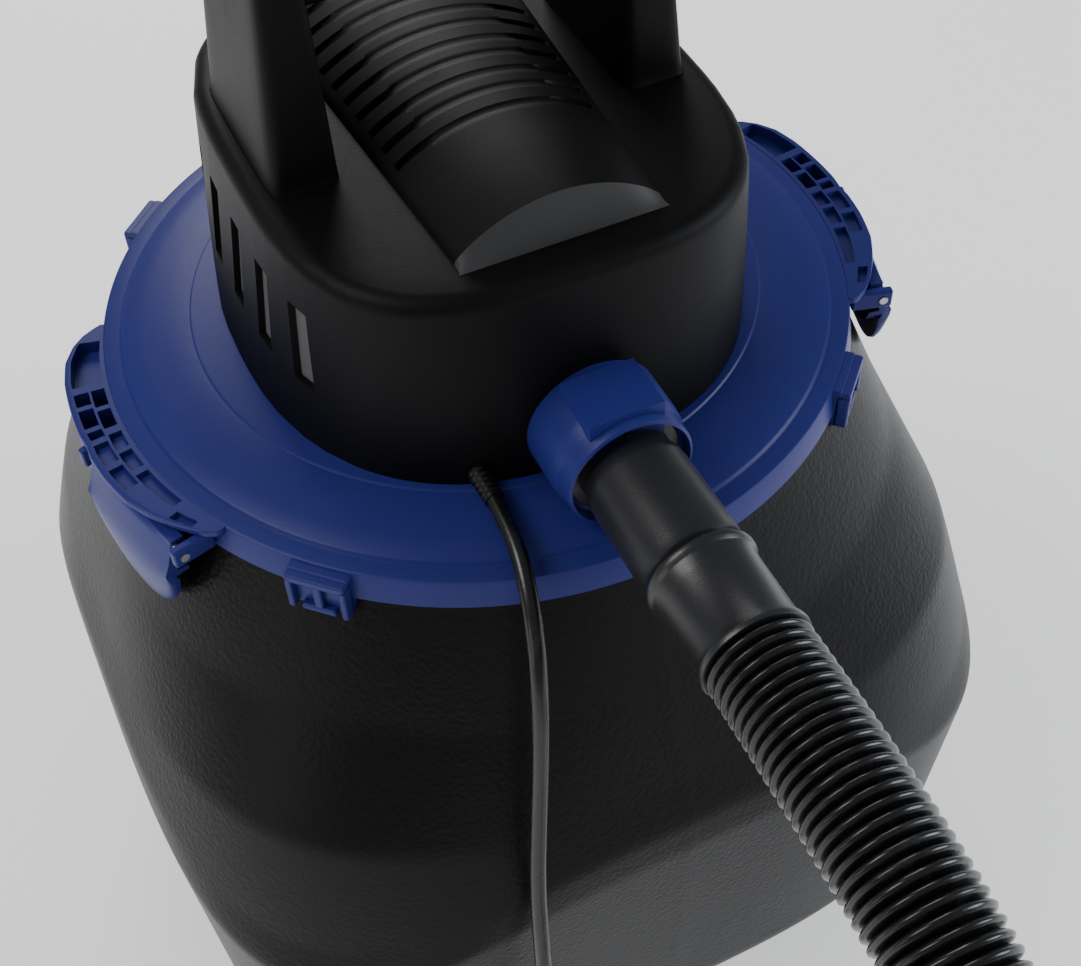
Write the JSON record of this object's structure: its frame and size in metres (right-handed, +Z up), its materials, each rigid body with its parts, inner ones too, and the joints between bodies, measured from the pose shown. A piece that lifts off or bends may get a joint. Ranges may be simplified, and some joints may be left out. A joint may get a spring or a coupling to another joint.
{
  "type": "wet and dry shop vacuum",
  "caption": "Compact wet and dry vacuum: squared drum on swivel casters, round latched lid with suction port, motor head with carry handle, ribbed hose and mains lead.",
  "frame": {"origin": "floor plane under the centre of the drum", "axes": "+Z up along the drum axis, -Y towards the suction port, +X to the right seen from the port"},
  "size_m": [0.491, 0.8437, 0.487],
  "materials": {
    "drum_plastic": "moulded, leather grain",
    "lid_plastic": "moulded, satin navy",
    "seal_rubber": "soft",
    "liner_plastic": "moulded",
    "head_plastic": "moulded, fine grain",
    "baffle_plastic": "moulded",
    "zinc_steel": "zinc plated",
    "switch_plastic": "polished",
    "inner_plastic": "moulded",
    "lamination": "varnished laminations",
    "carbon": "sintered",
    "copper": "turned",
    "fan_metal": "pressed",
    "float_plastic": "blow moulded",
    "filter_foam": "open cell foam",
    "caster_plastic": "moulded",
    "wheel_plastic": "moulded",
    "cuff_plastic": "fine grain",
    "hose_vinyl": "ribbed, glossy",
    "cord_vinyl": "glossy vinyl",
    "blade_brass": "plated"
  },
  "bodies": {
    "vacuum": {"bearing_lower": "zinc_steel", "bearing_upper": "zinc_steel", "carbon_brushes": "carbon", "carry_handle": "head_plastic", "caster_sockets": "caster_plastic", "cord_coil": "cord_vinyl", "cord_grip": "cord_vinyl", "cord_tail": "cord_vinyl", "cord_tube": "cord_vinyl", "drum": "drum_plastic", "exhaust_port": "head_plastic", "fan_housing": "fan_metal", "filter_band": "seal_rubber", "filter_sleeve": "filter_foam", "float_cage": "inner_plastic", "handle_screws": "zinc_steel", "hose_cuff": "cuff_plastic", "hose_end": "cuff_plastic", "hose_tube": "hose_vinyl", "inlet_deflector": "head_plastic", "latch_pins": "zinc_steel", "lid": "lid_plastic", "lid_gasket": "seal_rubber", "mains_plug": "cord_vinyl", "motor_bracket": "inner_plastic", "motor_housing": "head_plastic", "motor_plate": "inner_plastic", "motor_stator": "lamination", "plate_screws": "zinc_steel", "plug_blades": "blade_brass", "port_liner": "liner_plastic", "switch_bezel": "head_plastic", "vent_baffle_left": "baffle_plastic", "vent_baffle_right": "baffle_plastic"},
    "latch_left": {"latch_left": "lid_plastic"},
    "latch_right": {"latch_right": "lid_plastic"},
    "rocker": {"rocker_switch": "switch_plastic"},
    "rotor": {"rotor_shaft": "zinc_steel", "armature": "lamination", "commutator": "copper", "impeller": "fan_metal", "impeller_nut": "zinc_steel"},
    "float": {"float_ball": "float_plastic"},
    "fork_front_right": {"caster_fork_front_right": "caster_plastic", "caster_axle_front_right": "zinc_steel"},
    "wheel_front_right": {"caster_wheel_front_right": "wheel_plastic"},
    "fork_front_left": {"caster_fork_front_left": "caster_plastic", "caster_axle_front_left": "zinc_steel"},
    "wheel_front_left": {"caster_wheel_front_left": "wheel_plastic"},
    "fork_rear_left": {"caster_fork_rear_left": "caster_plastic", "caster_axle_rear_left": "zinc_steel"},
    "wheel_rear_left": {"caster_wheel_rear_left": "wheel_plastic"},
    "fork_rear_right": {"caster_fork_rear_right": "caster_plastic", "caster_axle_rear_right": "zinc_steel"},
    "wheel_rear_right": {"caster_wheel_rear_right": "wheel_plastic"}
  },
  "joints": [
    {"name": "latch_left_hinge", "type": "hinge", "parent": "vacuum", "child": "latch_left", "pos_m": [-0.13861, -0.03714, 0.318], "axis": [-0.2588, 0.9659, 0], "range_deg": [0, 70]},
    {"name": "latch_right_hinge", "type": "hinge", "parent": "vacuum", "child": "latch_right", "pos_m": [0.13861, -0.03714, 0.318], "axis": [-0.2588, -0.9659, 0], "range_deg": [0, 70]},
    {"name": "switch_rock", "type": "hinge", "parent": "vacuum", "child": "rocker", "pos_m": [0, 0.073, 0.407], "axis": [1, 0, 0], "range_deg": [-9, 9]},
    {"name": "rotor_spin", "type": "hinge", "parent": "vacuum", "child": "rotor", "pos_m": [0, 0, 0.35], "axis": [0, 0, 1], "continuous": true},
    {"name": "float_rise", "type": "slide", "parent": "vacuum", "child": "float", "axis": [0, 0, 1], "range_m": [0, 0.038]},
    {"name": "caster_front_right_swivel", "type": "hinge", "parent": "vacuum", "child": "fork_front_right", "pos_m": [0.112, -0.112, 0.035], "axis": [0, 0, 1], "continuous": true},
    {"name": "caster_front_right_spin", "type": "hinge", "parent": "fork_front_right", "child": "wheel_front_right", "pos_m": [0.112, -0.102, 0.0155], "axis": [1, 0, 0], "continuous": true},
    {"name": "caster_front_left_swivel", "type": "hinge", "parent": "vacuum", "child": "fork_front_left", "pos_m": [-0.112, -0.112, 0.035], "axis": [0, 0, 1], "continuous": true},
    {"name": "caster_front_left_spin", "type": "hinge", "parent": "fork_front_left", "child": "wheel_front_left", "pos_m": [-0.112, -0.102, 0.0155], "axis": [1, 0, 0], "continuous": true},
    {"name": "caster_rear_left_swivel", "type": "hinge", "parent": "vacuum", "child": "fork_rear_left", "pos_m": [-0.112, 0.112, 0.035], "axis": [0, 0, 1], "continuous": true},
    {"name": "caster_rear_left_spin", "type": "hinge", "parent": "fork_rear_left", "child": "wheel_rear_left", "pos_m": [-0.112, 0.122, 0.0155], "axis": [1, 0, 0], "continuous": true},
    {"name": "caster_rear_right_swivel", "type": "hinge", "parent": "vacuum", "child": "fork_rear_right", "pos_m": [0.112, 0.112, 0.035], "axis": [0, 0, 1], "continuous": true},
    {"name": "caster_rear_right_spin", "type": "hinge", "parent": "fork_rear_right", "child": "wheel_rear_right", "pos_m": [0.112, 0.122, 0.0155], "axis": [1, 0, 0], "continuous": true}
  ]
}
